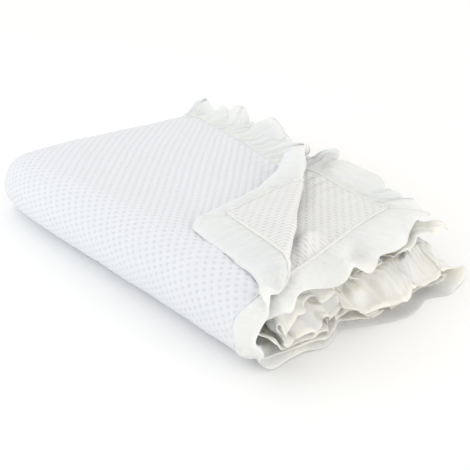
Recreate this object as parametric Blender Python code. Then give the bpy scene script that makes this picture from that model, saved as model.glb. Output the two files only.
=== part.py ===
"""Folded bedspread: one dimpled cotton panel with a gathered frill on each of its four edges.

The spread is doubled once and then folded twice more, so eight layers lie in the stack.
Every cloth is first laid out flat (X across the doubling, Y along the stack's folds) and
then carried into the stack by one fold map, so layers keep their distance everywhere.
"""
from math import cos, exp, pi, radians, sin

import bmesh
import bpy

# Cloth, in metres
PANEL_THICKNESS = 0.004
FRILL_THICKNESS = 0.0016
FRILL_WIDTH = 0.046
SEAM_GAP = 0.0006

# Stack: the distance from layer to layer, and the plan
LAYER_PITCH = 0.0135
STACK_DEPTH = 0.330
FRONT_FOLD_Y = 3.5 * LAYER_PITCH + PANEL_THICKNESS / 2
BACK_FOLD_Y = STACK_DEPTH - 1.5 * LAYER_PITCH - PANEL_THICKNESS / 2
RUN_LENGTH = BACK_FOLD_Y - FRONT_FOLD_Y
DOUBLING_RADIUS = LAYER_PITCH / 2
DOUBLING_X = DOUBLING_RADIUS + PANEL_THICKNESS / 2
DOUBLING_ARC = pi * DOUBLING_RADIUS
FRONT_RADIUS = 3 * LAYER_PITCH
LOWEST_RUN_Z = PANEL_THICKNESS / 2 + LAYER_PITCH / 2
STACK_HEIGHT = 7 * LAYER_PITCH + PANEL_THICKNESS

# Plan of the box's centre, so that the origin is at its bottom centre
ORIGIN_X = 0.2624
ORIGIN_Y = 0.1982

# The open end, station by station along the folds: the X of the foot edge and of the head
# edge, and how far the frill reaches beyond each
OPEN_END = {
    "top_back": {"foot": 0.507, "head": 0.464, "foot_frill": 0.044, "head_frill": 0.030},
    "front_top": {"foot": 0.498, "head": 0.488, "foot_frill": 0.038, "head_frill": 0.042},
    "front_low": {"foot": 0.486, "head": 0.478, "foot_frill": 0.030, "head_frill": 0.036},
    "back": {"foot": 0.500, "head": 0.490, "foot_frill": 0.050, "head_frill": 0.044},
    "inner_front": {"foot": 0.488, "head": 0.480, "foot_frill": 0.036, "head_frill": 0.038},
    "inner_back": {"foot": 0.478, "head": 0.464, "foot_frill": 0.040, "head_frill": 0.036},
}

# The free long edges of each half: their Y at the doubled end and at the open end, and how
# far the frill reaches beyond them there
LEFT_EDGE = {
    "foot_half": {"doubled": 0.348, "open": 0.203, "frill_doubled": 0.047, "frill_open": 0.014},
    "head_half": {"doubled": 0.330, "open": 0.292, "frill_doubled": 0.046, "frill_open": 0.034},
}
RIGHT_EDGE = {
    "foot_half": {"doubled": 0.322, "open": 0.316, "frill_doubled": 0.044, "frill_open": 0.038},
    "head_half": {"doubled": 0.326, "open": 0.306, "frill_doubled": 0.046, "frill_open": 0.040},
}

# The turned-back corner: a crease across the top layer, and how the flap lies
CREASE_X = 0.509
CREASE_Y = 0.054
CREASE_ANGLE = radians(37.6)
CREASE_RADIUS = 0.0085
FLAP_SINK = 0.0060
FLAP_SINK_REACH = 0.110
FLAP_CLOTH_X = 0.25
FLAP_CLOTH_Y = -0.06

# Unevenness of the stack: the doubled end is lower, pinched at its very edge and askew
DOUBLED_END_LOSS = 0.11
DOUBLED_END_REACH = 0.34
PINCH = 0.16
PINCH_REACH = 0.022
DOUBLED_END_SET_BACK = 0.006
SET_BACK_REACH = 0.07
DOUBLED_END_SKEW = 0.034
SKEW_REACH = 0.30
CORNER_PULL = 0.018
CORNER_REACH = 0.125

# The back side is a little lower, and a slow swell runs over the top
BACK_SINK = 0.05
BACK_SINK_REACH = 0.05
SWELL = {"share": 0.012, "x_length": 0.31, "y_length": 0.42, "phase": 0.7}
BACK_FOLD_SKEW = 0.02

# Where the cloth's edges begin, how the frills beyond them droop or lift, and the crease's peak
OPEN_END_X = 0.475
OPEN_END_DROOP = 0.06
DROOP_FADE_Y = 0.12
WAVE_FADE_Y = 0.08
SIDE_Y = 0.318
SIDE_LIFT = 0.07
SIDE_LIFT_X = 0.20
SIDE_LIFT_REACH = 0.15
PEAK_X = 0.338
PEAK_Y = 0.300
PEAK_REACH = 0.040
PEAK_LIFT = 0.13

# Each frill's own ripple: its height at the hem, the two lengths mixed in it, and the share
# of the long wave
FRILL_RIPPLE = 0.0040
END_RIPPLE = (0.047, 0.031)
LONG_RIPPLE = (0.051, 0.029)
LONG_WAVE_SHARE = 0.6

# Where along a half the long frill starts to narrow toward the open end
NARROWING_START = 0.6

# Waves that all the layers share, as a share of the height
END_WAVES = (
    {"share": 0.080, "length": 0.074, "phase": 0.6},
    {"share": 0.040, "length": 0.043, "phase": 2.1},
)
SIDE_WAVES = (
    {"share": 0.080, "length": 0.062, "phase": 1.1},
    {"share": 0.035, "length": 0.101, "phase": 0.2},
)

# Steps of the grid: how many cloth pieces lie between the fold lines
TOP_STEPS = 9
FRONT_STEPS = 9
HIDDEN_STEPS = 6
SMALL_FOLD_STEPS = 5
DOUBLING_STEPS = 5
PANEL_CROSS = (0.0, 0.03, 0.07, 0.13, 0.21, 0.31, 0.43, 0.57, 0.71, 0.85, 1.0)
FRILL_CROSS = (0.0, 0.3, 0.65, 1.0)
CREASE_CUTS = 6
CUT_TOLERANCE = 0.000001
SHARP_EDGE_ANGLE = radians(50)


def smooth(value):
    """Ease from 0 to 1."""
    value = min(max(value, 0.0), 1.0)
    return value * value * (3.0 - 2.0 * value)


def mix(first, second, share):
    return first + (second - first) * share


def stack_plan_stretch(x):
    """The hidden back fold lies slightly askew; the runs between stretch to reach it."""
    return 1.0 + BACK_FOLD_SKEW * (x / OPEN_END["back"]["foot"] - 0.5)


def turn_corner(x, y, lift):
    """Roll the top layer's corner back over itself about the crease."""
    across = (cos(CREASE_ANGLE), sin(CREASE_ANGLE))
    beyond = (x - CREASE_X) * across[0] + (y - CREASE_Y) * across[1] + CREASE_RADIUS
    if beyond <= 0.0:
        return x, y, lift
    half_turn = pi * CREASE_RADIUS
    angle = min(beyond / CREASE_RADIUS, pi)
    over = max(beyond - half_turn, 0.0)
    shift = (CREASE_RADIUS - lift) * sin(angle) - over - beyond
    height = CREASE_RADIUS - (CREASE_RADIUS - lift) * cos(angle)
    height -= FLAP_SINK * smooth(over / FLAP_SINK_REACH)
    return x + across[0] * shift, y + across[1] * shift, height


def doubled(cloth_x, lift):
    """Fold the cloth in half: give the distance from the doubling and the side offset."""
    if cloth_x >= 0.0:
        return DOUBLING_X + cloth_x, DOUBLING_RADIUS + lift
    if cloth_x > -DOUBLING_ARC:
        angle = -cloth_x / DOUBLING_RADIUS
        radius = DOUBLING_RADIUS + lift
        return DOUBLING_X - radius * sin(angle), radius * cos(angle)
    return DOUBLING_X - cloth_x - DOUBLING_ARC, -DOUBLING_RADIUS - lift


def folded(x, cloth_y, side):
    """Carry the doubled cloth round the stack's folds: top run, bottom run, two inner runs."""
    stretch = stack_plan_stretch(x)
    centre_z = LOWEST_RUN_Z + FRONT_RADIUS
    if cloth_y >= FRONT_FOLD_Y:
        return cloth_y, centre_z + FRONT_RADIUS + side
    travelled = FRONT_FOLD_Y - cloth_y
    if travelled < pi * FRONT_RADIUS:
        angle = travelled / FRONT_RADIUS
        radius = FRONT_RADIUS + side
        return FRONT_FOLD_Y - radius * sin(angle), centre_z + radius * cos(angle)
    travelled -= pi * FRONT_RADIUS
    if travelled < RUN_LENGTH:
        return FRONT_FOLD_Y + travelled * stretch, LOWEST_RUN_Z - side
    travelled -= RUN_LENGTH
    back_y = FRONT_FOLD_Y + RUN_LENGTH * stretch
    if travelled < pi * LAYER_PITCH:
        angle = travelled / LAYER_PITCH
        radius = LAYER_PITCH + side
        return back_y + radius * sin(angle), LOWEST_RUN_Z + LAYER_PITCH - radius * cos(angle)
    travelled -= pi * LAYER_PITCH
    if travelled < RUN_LENGTH:
        return back_y - travelled * stretch, LOWEST_RUN_Z + 2 * LAYER_PITCH + side
    travelled -= RUN_LENGTH
    if travelled < pi * LAYER_PITCH:
        angle = travelled / LAYER_PITCH
        radius = LAYER_PITCH - side
        return FRONT_FOLD_Y - radius * sin(angle), centre_z - radius * cos(angle)
    travelled -= pi * LAYER_PITCH
    return FRONT_FOLD_Y + travelled, LOWEST_RUN_Z + 4 * LAYER_PITCH - side


def settled(x, y, z):
    """Give the whole stack its uneven shape; heights only scale, so no layer meets another."""
    height = z / STACK_HEIGHT
    scale = 1.0 - DOUBLED_END_LOSS * (1.0 - smooth(x / DOUBLED_END_REACH))
    scale -= PINCH * exp(-x / PINCH_REACH)
    scale -= BACK_SINK * exp(-max(STACK_DEPTH - y, 0.0) / BACK_SINK_REACH)
    swell = sin(2 * pi * x / SWELL["x_length"] + SWELL["phase"]) * sin(2 * pi * y / SWELL["y_length"])
    scale += SWELL["share"] * swell
    beyond_end = (x - OPEN_END_X) / FRILL_WIDTH
    scale -= OPEN_END_DROOP * smooth(beyond_end) * smooth(y / DROOP_FADE_Y)
    for wave in END_WAVES:
        turn = sin(2 * pi * y / wave["length"] + wave["phase"])
        scale += wave["share"] * smooth(beyond_end) * turn * smooth(y / WAVE_FADE_Y)
    beyond_side = (y - SIDE_Y) / FRILL_WIDTH
    scale += SIDE_LIFT * smooth(beyond_side) * smooth((x - SIDE_LIFT_X) / SIDE_LIFT_REACH)
    for wave in SIDE_WAVES:
        turn = sin(2 * pi * x / wave["length"] + wave["phase"])
        scale += wave["share"] * smooth(beyond_side) * turn
    from_peak = ((x - PEAK_X) ** 2 + (y - PEAK_Y) ** 2) / PEAK_REACH ** 2
    scale += PEAK_LIFT * exp(-from_peak) * height ** 4
    pull = max(0.0, 1.0 - x / CORNER_REACH) ** 2 * max(0.0, 1.0 - y / CORNER_REACH) ** 2
    set_back = DOUBLED_END_SET_BACK * height * height * exp(-max(x, 0.0) / SET_BACK_REACH)
    skew = DOUBLED_END_SKEW * (1.0 - smooth(y / STACK_DEPTH)) * (1.0 - smooth(x / SKEW_REACH))
    x += CORNER_PULL * pull + set_back - skew
    y += CORNER_PULL * pull
    return x - ORIGIN_X, y - ORIGIN_Y, z * scale


def place(cloth_x, cloth_y, lift):
    """From the flat cloth to the folded stack."""
    if cloth_x > 0.0 and cloth_y > FRONT_FOLD_Y - pi * FRONT_RADIUS:
        turned_x, cloth_y, lift = turn_corner(cloth_x + DOUBLING_X, cloth_y, lift)
        cloth_x = turned_x - DOUBLING_X
    x, side = doubled(cloth_x, lift)
    y, z = folded(x, cloth_y, side)
    return settled(x, y, z)


def even_steps(count):
    return [step / count for step in range(1, count + 1)]


def along_stations(detail):
    """Stations along the folds as (stretch, share), with more steps for finer detail."""
    stations = [("top", 0.0)]
    stations += [("top", share) for share in even_steps(round(TOP_STEPS * detail))]
    stations += [("front", share) for share in even_steps(FRONT_STEPS)]
    stations += [("bottom", share) for share in even_steps(round(HIDDEN_STEPS * detail))]
    stations += [("back", share) for share in even_steps(SMALL_FOLD_STEPS)]
    stations += [("inner", share) for share in even_steps(round(HIDDEN_STEPS * detail))]
    stations += [("inner_front", share) for share in even_steps(SMALL_FOLD_STEPS)]
    stations += [("last", share) for share in even_steps(round(HIDDEN_STEPS * detail))]
    return stations


def across_stations(detail):
    """Stations across the doubling, from the foot edge round to the head edge."""
    shares = list(PANEL_CROSS)
    if detail > 1:
        middles = [(first + second) / 2 for first, second in zip(shares, shares[1:])]
        shares = sorted(shares + middles)
    stations = [("foot_half", share) for share in reversed(shares)]
    stations += [("doubling", share) for share in even_steps(DOUBLING_STEPS)]
    stations += [("head_half", share) for share in shares[1:]]
    return stations


def open_end(column, stretch, share):
    """Read the open end's table at a station along the folds."""
    ends = {
        "top": ("top_back", "front_top"),
        "front": ("front_top", "front_low"),
        "bottom": ("front_low", "back"),
        "back": ("back", "back"),
        "inner": ("back", "inner_front"),
        "inner_front": ("inner_front", "inner_front"),
        "last": ("inner_front", "inner_back"),
    }[stretch]
    return mix(OPEN_END[ends[0]][column], OPEN_END[ends[1]][column], smooth(share))


def long_edge(edge, half, share):
    """Where a free long edge lies at a station across the doubling, and its frill's reach."""
    if half == "doubling":
        line = mix(edge["foot_half"]["doubled"], edge["head_half"]["doubled"], share)
        reach = mix(edge["foot_half"]["frill_doubled"], edge["head_half"]["frill_doubled"], share)
        return line, reach
    line = mix(edge[half]["doubled"], edge[half]["open"], share)
    narrowing = smooth((share - NARROWING_START) / (1.0 - NARROWING_START))
    reach = mix(edge[half]["frill_doubled"], edge[half]["frill_open"], narrowing)
    return line, reach


def cloth_x_at(half, share, stretch, along_share, width_share, gap=0.0):
    """Flat X of a station, as a share of the way to the open end's edge or into its frill."""
    if half == "doubling":
        return -DOUBLING_ARC * share
    column = "foot" if half == "foot_half" else "head"
    edge = open_end(column, stretch, along_share)
    edge += open_end(column + "_frill", stretch, along_share) * width_share + gap
    reach = (edge - DOUBLING_X) * share
    return reach if half == "foot_half" else -DOUBLING_ARC - reach


def cloth_y_at(stretch, share, half, across_share, width_share, gap=0.0):
    """Flat Y of a station: metric along the folds, so the crease stays straight."""
    front_end = FRONT_FOLD_Y - pi * FRONT_RADIUS
    back_start = front_end - RUN_LENGTH
    back_end = back_start - pi * LAYER_PITCH
    inner_end = back_end - RUN_LENGTH
    last_start = inner_end - pi * LAYER_PITCH
    left, left_frill = long_edge(LEFT_EDGE, half, across_share)
    right, right_frill = long_edge(RIGHT_EDGE, half, across_share)
    left += left_frill * width_share + gap
    right += right_frill * width_share + gap
    ends = {
        "top": (left, FRONT_FOLD_Y),
        "front": (FRONT_FOLD_Y, front_end),
        "bottom": (front_end, back_start),
        "back": (back_start, back_end),
        "inner": (back_end, inner_end),
        "inner_front": (inner_end, last_start),
        "last": (last_start, last_start - (right - FRONT_FOLD_Y)),
    }[stretch]
    return mix(ends[0], ends[1], share)


def panel_grid():
    """Flat places of the panel's grid."""
    grid = []
    for stretch, along in along_stations(1):
        row = []
        for half, across in across_stations(1):
            x = cloth_x_at(half, across, stretch, along, 0.0)
            y = cloth_y_at(stretch, along, half, across, 0.0)
            row.append((x, y, 0.0))
        grid.append(row)
    return grid


def on_floor(half, stretch, share):
    """How far the outer half lies on the surface below, from 0 to 1."""
    if half != "foot_half":
        return 0.0
    return {"front": smooth(2 * share - 1), "bottom": 1.0, "back": smooth(1 - 2 * share)}.get(stretch, 0.0)


def ripple_wave(place_along, lengths, phase):
    """Two mixed waves, from -1 to 1."""
    long_wave = sin(2 * pi * place_along / lengths[0] + phase)
    short_wave = sin(2 * pi * place_along / lengths[1])
    return mix(short_wave, long_wave, LONG_WAVE_SHARE)


def end_frill_grid(half, ripple_phase):
    """Flat places of a frill on the foot or head edge; its corners are mitred."""
    grid = []
    for stretch, along in along_stations(2):
        row = []
        for width_share in FRILL_CROSS:
            x = cloth_x_at(half, 1.0, stretch, along, width_share, SEAM_GAP)
            y = cloth_y_at(stretch, along, half, 1.0, width_share)
            wave = ripple_wave(y, END_RIPPLE, ripple_phase)
            wave = mix(wave, -0.5 - 0.5 * wave, on_floor(half, stretch, along))
            row.append((x, y, FRILL_RIPPLE * smooth(width_share) * wave))
        grid.append(row)
    return grid


def long_frill_grid(side, ripple_phase):
    """Flat places of a frill on one of the long edges, round the doubling."""
    grid = []
    stretch, along = ("top", 0.0) if side == "left" else ("last", 1.0)
    for half, across in across_stations(2):
        row = []
        for width_share in FRILL_CROSS:
            x = cloth_x_at(half, across, stretch, along, width_share)
            y = cloth_y_at(stretch, along, half, across, width_share, SEAM_GAP)
            wave = ripple_wave(x, LONG_RIPPLE, ripple_phase)
            row.append((x, y, FRILL_RIPPLE * smooth(width_share) * wave))
        grid.append(row)
    return grid


def cut_at_crease(mesh):
    """Cut the flat cloth along lines beside the crease, so that it can roll over smoothly."""
    across = (cos(CREASE_ANGLE), sin(CREASE_ANGLE), 0.0)
    region = []
    for face in mesh.faces:
        if all(vert.co.x > FLAP_CLOTH_X and vert.co.y > FLAP_CLOTH_Y for vert in face.verts):
            region.append(face)
    for cut in range(CREASE_CUTS + 1):
        beyond = pi * CREASE_RADIUS * cut / CREASE_CUTS - CREASE_RADIUS
        point = (
            CREASE_X - DOUBLING_X + across[0] * beyond,
            CREASE_Y + across[1] * beyond,
            0.0,
        )
        region = [face for face in region if face.is_valid]
        edges = {edge for face in region for edge in face.edges}
        verts = {vert for face in region for vert in face.verts}
        cut_parts = bmesh.ops.bisect_plane(
            mesh,
            geom=region + list(edges) + list(verts),
            dist=CUT_TOLERANCE,
            plane_co=point,
            plane_no=across,
        )
        region = [part for part in cut_parts["geom"] if isinstance(part, bmesh.types.BMFace)]


def sheet_solid(name, grid, thickness, material):
    """A closed sheet of the given thickness on a grid of flat places, then folded."""
    mesh = bmesh.new()
    upper = [[mesh.verts.new((x, y, lift + thickness / 2)) for x, y, lift in row] for row in grid]
    lower = [[mesh.verts.new((x, y, lift - thickness / 2)) for x, y, lift in row] for row in grid]
    rows = len(grid)
    columns = len(grid[0])
    for i in range(rows - 1):
        for j in range(columns - 1):
            mesh.faces.new((upper[i][j], upper[i + 1][j], upper[i + 1][j + 1], upper[i][j + 1]))
            mesh.faces.new((lower[i][j], lower[i][j + 1], lower[i + 1][j + 1], lower[i + 1][j]))
    rim = [(0, j) for j in range(columns - 1)] + [(i, columns - 1) for i in range(rows - 1)]
    rim += [(rows - 1, j) for j in range(columns - 1, 0, -1)] + [(i, 0) for i in range(rows - 1, 0, -1)]
    for (i, j), (k, m) in zip(rim, rim[1:] + rim[:1]):
        mesh.faces.new((upper[i][j], upper[k][m], lower[k][m], lower[i][j]))
    cut_at_crease(mesh)
    for vert in mesh.verts:
        vert.co = place(vert.co.x, vert.co.y, vert.co.z)
    bmesh.ops.triangulate(mesh, faces=mesh.faces[:])
    bmesh.ops.recalc_face_normals(mesh, faces=mesh.faces[:])
    data = bpy.data.meshes.new(name)
    mesh.to_mesh(data)
    mesh.free()
    data.materials.append(material)
    data.shade_smooth()
    data.set_sharp_from_angle(angle=SHARP_EDGE_ANGLE)
    item = bpy.data.objects.new(name, data)
    bpy.context.scene.collection.objects.link(item)
    return item


def cotton(name, colour, roughness):
    material = bpy.data.materials.new(name)
    material.use_nodes = True
    shader = material.node_tree.nodes["Principled BSDF"]
    shader.inputs["Base Color"].default_value = (*colour, 1.0)
    shader.inputs["Roughness"].default_value = roughness
    shader.inputs["Metallic"].default_value = 0.0
    return material


def main():
    for item in list(bpy.data.objects):
        bpy.data.objects.remove(item, do_unlink=True)
    dimpled = cotton("dimpled_cotton", (0.86, 0.87, 0.88), 0.95)
    plain = cotton("plain_cotton", (0.88, 0.87, 0.83), 0.85)
    sheet_solid("panel", panel_grid(), PANEL_THICKNESS, dimpled)
    sheet_solid("frill_foot", end_frill_grid("foot_half", 0.4), FRILL_THICKNESS, plain)
    sheet_solid("frill_head", end_frill_grid("head_half", 2.3), FRILL_THICKNESS, plain)
    sheet_solid("frill_left", long_frill_grid("left", 1.2), FRILL_THICKNESS, plain)
    sheet_solid("frill_right", long_frill_grid("right", 3.0), FRILL_THICKNESS, plain)


main()
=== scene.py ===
"""Looks of a folded bedspread: one dimpled cotton panel with a gathered frill on each edge.

The cloth is laid out flat, X across the doubling and Y along the stack's folds, and is carried
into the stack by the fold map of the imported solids. Here the grids are finer and the cloth has
its own relief: dimples, soft folds, puckered seams, gathers, ruffles and hems.
"""
from math import cos, exp, pi, radians, sin

import bmesh
import bpy
import numpy as np
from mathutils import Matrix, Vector, noise


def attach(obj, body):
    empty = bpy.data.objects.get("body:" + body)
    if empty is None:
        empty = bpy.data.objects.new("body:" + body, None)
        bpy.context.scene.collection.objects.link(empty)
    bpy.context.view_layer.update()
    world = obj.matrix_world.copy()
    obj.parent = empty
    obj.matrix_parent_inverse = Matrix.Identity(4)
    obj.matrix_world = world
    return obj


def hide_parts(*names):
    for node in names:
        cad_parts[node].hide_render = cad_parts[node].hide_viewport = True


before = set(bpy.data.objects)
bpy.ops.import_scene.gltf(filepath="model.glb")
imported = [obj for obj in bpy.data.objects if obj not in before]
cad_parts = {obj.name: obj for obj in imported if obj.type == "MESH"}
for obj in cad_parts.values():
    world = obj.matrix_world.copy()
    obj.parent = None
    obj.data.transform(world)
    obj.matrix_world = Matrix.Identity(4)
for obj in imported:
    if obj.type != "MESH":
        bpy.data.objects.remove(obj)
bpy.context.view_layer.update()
NOISE_SEED = 3
noise.seed_set(NOISE_SEED)

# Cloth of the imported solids, in metres
PANEL_THICKNESS = 0.004
FRILL_WIDTH = 0.046

# Stack: the distance from layer to layer, and the plan
LAYER_PITCH = 0.0135
STACK_DEPTH = 0.330
FRONT_FOLD_Y = 3.5 * LAYER_PITCH + PANEL_THICKNESS / 2
BACK_FOLD_Y = STACK_DEPTH - 1.5 * LAYER_PITCH - PANEL_THICKNESS / 2
RUN_LENGTH = BACK_FOLD_Y - FRONT_FOLD_Y
DOUBLING_RADIUS = LAYER_PITCH / 2
DOUBLING_X = DOUBLING_RADIUS + PANEL_THICKNESS / 2
DOUBLING_ARC = pi * DOUBLING_RADIUS
FRONT_RADIUS = 3 * LAYER_PITCH
LOWEST_RUN_Z = PANEL_THICKNESS / 2 + LAYER_PITCH / 2
STACK_HEIGHT = 7 * LAYER_PITCH + PANEL_THICKNESS
ORIGIN_X = 0.2624
ORIGIN_Y = 0.1982

# The open end, station by station along the folds: the X of the foot edge and of the head
# edge, and how far the frill reaches beyond each
OPEN_END = {
    "top_back": {"foot": 0.507, "head": 0.464, "foot_frill": 0.044, "head_frill": 0.030},
    "front_top": {"foot": 0.498, "head": 0.488, "foot_frill": 0.038, "head_frill": 0.042},
    "front_low": {"foot": 0.486, "head": 0.478, "foot_frill": 0.030, "head_frill": 0.036},
    "back": {"foot": 0.500, "head": 0.490, "foot_frill": 0.050, "head_frill": 0.044},
    "inner_front": {"foot": 0.488, "head": 0.480, "foot_frill": 0.036, "head_frill": 0.038},
    "inner_back": {"foot": 0.478, "head": 0.464, "foot_frill": 0.040, "head_frill": 0.036},
}

# The free long edges of each half: their Y at the doubled end and at the open end, and how
# far the frill reaches beyond them there
LEFT_EDGE = {
    "foot_half": {"doubled": 0.348, "open": 0.203, "frill_doubled": 0.047, "frill_open": 0.014},
    "head_half": {"doubled": 0.330, "open": 0.292, "frill_doubled": 0.046, "frill_open": 0.034},
}
RIGHT_EDGE = {
    "foot_half": {"doubled": 0.322, "open": 0.316, "frill_doubled": 0.044, "frill_open": 0.038},
    "head_half": {"doubled": 0.326, "open": 0.306, "frill_doubled": 0.046, "frill_open": 0.040},
}
NARROWING_START = 0.6
NARROWING_END = {"foot_half": 0.84, "head_half": 1.0}

# How round the frill lies at the panel's four corners, from 0, mitred, to 1, an arc
CORNER_ROUNDING = {"foot_left": 1.0, "head_left": 0.3, "foot_right": 0.6, "head_right": 0.6}

# The turned-back corner: a crease across the top layer, and how the flap lies
CREASE_X = 0.509
CREASE_Y = 0.054
CREASE_ANGLE = radians(37.6)
CREASE_RADIUS = 0.0085
CREASE_CUTS = 14
CUT_TOLERANCE = 0.000001
FLAP_SINK = 0.0060
FLAP_SINK_REACH = 0.110
FLAP_CLOTH_X = 0.25
FLAP_CLOTH_Y = -0.06

# Unevenness of the stack: the doubled end is lower, pinched at its very edge and askew
DOUBLED_END_LOSS = 0.11
DOUBLED_END_REACH = 0.34
PINCH = 0.16
PINCH_REACH = 0.022
DOUBLED_END_SET_BACK = 0.006
SET_BACK_REACH = 0.07
DOUBLED_END_SKEW = 0.034
SKEW_REACH = 0.30
CORNER_PULL = 0.018
CORNER_REACH = 0.125
BACK_SINK = 0.05
BACK_SINK_REACH = 0.05
SWELL = {"share": 0.012, "x_length": 0.31, "y_length": 0.42, "phase": 0.7}
BACK_FOLD_SKEW = 0.02

# Where the cloth's edges begin, how the frills beyond them droop or lift, and the crease's peak
OPEN_END_X = 0.475
OPEN_END_DROOP = 0.06
DROOP_FADE_Y = 0.12
WAVE_FADE_Y = 0.08
SIDE_Y = 0.318
SIDE_LIFT = 0.07
SIDE_LIFT_X = 0.20
SIDE_LIFT_REACH = 0.15
PEAK_X = 0.338
PEAK_Y = 0.300
PEAK_REACH = 0.040
PEAK_LIFT = 0.13
END_WAVES = (
    {"share": 0.080, "length": 0.074, "phase": 0.6},
    {"share": 0.040, "length": 0.043, "phase": 2.1},
)
SIDE_WAVES = (
    {"share": 0.080, "length": 0.062, "phase": 1.1},
    {"share": 0.035, "length": 0.101, "phase": 0.2},
)

# Past the open end's edge the layers sink toward each other, and the lower ones spread at the
# back: in full up to the spread's top, and not at all from twice that height
HEM_SAG = 0.38
HEM_SAG_X = 0.484
HEM_SAG_REACH = 0.055
HEM_SAG_START_Y = 0.02
HEM_SAG_FADE_Y = 0.08
HEM_SAG_END_Y = 0.265
HEM_SAG_LEFT = 0.35
LOW_SAG = 0.52
LOW_SAG_TOP = 0.060
SPREAD = 0.008
SPREAD_X = 0.480
SPREAD_START_Y = 0.17
SPREAD_END_Y = 0.31
SPREAD_TOP = 0.050

# A soft crumple of all that lies beyond the cloth's edges, and a finer one of its low layers
CRUMPLE = 0.017
CRUMPLE_SIZE = 0.045
CRUMPLE_FADE = 0.034
CRUMPLE_FLOOR_FADE = 0.030
FINE_CRUMPLE = 0.0075
FINE_CRUMPLE_SIZE = 0.019
FINE_CRUMPLE_TOP = 0.058
FINE_CRUMPLE_FADE = 0.016

# Panel cloth: its body, its thinner sewn edge, the staggered dimples of the weave, how sharp they
# are in the mesh and in the material, and the panel's slow rise and fall
PANEL_BODY = 0.0034
PANEL_EDGE = 0.0014
EDGE_TAPER = 0.011
DIMPLE_X = 0.0133
DIMPLE_Y = 0.0100
DIMPLE_DEPTH = 0.0007
DIMPLE_SHARPNESS = 2.6
DOT_SHARPNESS = 4.6
WEAVE_SKEW = 0.38
WEAVE_DRIFT = 0.05
WEAVE_TURN_X = -0.12
DIMPLE_SWAY = 0.0011
DIMPLE_SWAY_SIZE = 0.060
DIMPLE_SWAY_ROW = 0.4
UNDULATION = 0.0013
UNDULATION_SIZE = 0.075
UNDULATIONS = (
    {"share": 1.0, "finer": 1.0, "row": 3.1},
    {"share": 0.4, "finer": 2.3, "row": 8.4},
)

# Puckers beside the seams: their height, how far from wave to wave, how far into the cloth they
# reach and start, how unevenly they follow each other, and how strong they are on the second
# layer and on the turned corner
PUCKER = 0.0008
PUCKER_LENGTH = 0.017
PUCKER_REACH = 0.011
PUCKER_START = 0.004
PUCKER_SIDE_REACH_SHARE = 0.7
PUCKER_SWAY = 3.0
PUCKER_SWAY_SIZE = 0.05
END_PUCKER_ROW = 1.0
SIDE_PUCKER_ROW = 2.0
SECOND_LAYER_PUCKER = 2.2
FLAP_PUCKER = 1.6

# Soft folds of the panel's top, placed on the flat cloth; angle from X, height up or down
SOFT_FOLDS = (
    {"x": 0.300, "y": 0.105, "angle": 168, "length": 0.080, "width": 0.016, "height": -0.0020},
    {"x": 0.190, "y": 0.275, "angle": 6, "length": 0.110, "width": 0.020, "height": 0.0018},
    {"x": 0.262, "y": 0.262, "angle": -32, "length": 0.060, "width": 0.013, "height": -0.0024},
    {"x": 0.215, "y": 0.020, "angle": 9, "length": 0.120, "width": 0.017, "height": -0.0017},
    {"x": 0.070, "y": 0.190, "angle": 97, "length": 0.085, "width": 0.018, "height": -0.0018},
    {"x": 0.130, "y": 0.110, "angle": 22, "length": 0.070, "width": 0.022, "height": 0.0014},
    {"x": 0.440, "y": 0.150, "angle": 70, "length": 0.050, "width": 0.012, "height": -0.0016},
    {"x": 0.395, "y": 0.020, "angle": 80, "length": 0.050, "width": 0.014, "height": 0.0016},
)

# Soft folds of the uncovered second layer, whose reverse side is up: a roll beside its end seam
SECOND_LAYER_FOLDS = (
    {"x": -0.468, "y": 0.150, "angle": 66, "length": 0.021, "width": 0.0115, "height": -0.0140},
    {"x": -0.405, "y": 0.235, "angle": 58, "length": 0.045, "width": 0.012, "height": -0.0022},
    {"x": -0.372, "y": 0.205, "angle": 76, "length": 0.050, "width": 0.010, "height": 0.0020},
)

# Grid of the panel: cells between the fold lines, then finer where the cloth shows
PANEL_ROWS = (
    ("top", 30),
    ("front", 15),
    ("bottom", 15),
    ("back", 7),
    ("inner", 15),
    ("inner_front", 7),
    ("last", 15),
)
FOOT_CELLS = 57
DOUBLING_CELLS = 6
HEAD_FAR_CELLS = 14
HEAD_NEAR_CELLS = 26
HEAD_NEAR_START = 0.55
TOP_CUTS = 3
FLAP_CUTS = 2

# The head half's flat length, how far up or down a lying face looks at least, and a distance
# that counts as far from every edge
HEAD_END_X = 0.47
LYING_FACE = 0.5
FAR_FROM_EDGE = 1.0

# Frill cloth, its hem, how its root is tucked into the panel's edge, and its grid
FRILL_BODY = 0.0009
HEM_BODY = 0.0016
HEM_SHARE = 0.84
HEM_LIP = 0.6
ROOT_TUCK = 0.0012
FRILL_CROSS = (0.0, 0.05, 0.12, 0.21, 0.31, 0.42, 0.53, 0.64, 0.74, 0.82, 0.85, 0.93, 1.0)
FRILL_ROWS = (
    ("top", 100),
    ("front", 80),
    ("bottom", 160),
    ("back", 30),
    ("inner", 160),
    ("inner_front", 30),
    ("last", 160),
)
FRILL_FOOT_CELLS = 310
FRILL_DOUBLING_CELLS = 14
FRILL_HEAD_CELLS = 300

# Each frill's ruffles: their height, their sideways curl and the row of noise they follow
FRILLS = {
    "foot": {"height": 0.0070, "curl": 0.0040, "row": 1.7},
    "head": {"height": 0.0064, "curl": 0.0042, "row": 5.3},
    "left": {"height": 0.0105, "curl": 0.0040, "row": 9.1},
    "right": {"height": 0.0062, "curl": 0.0040, "row": 13.9},
}

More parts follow.
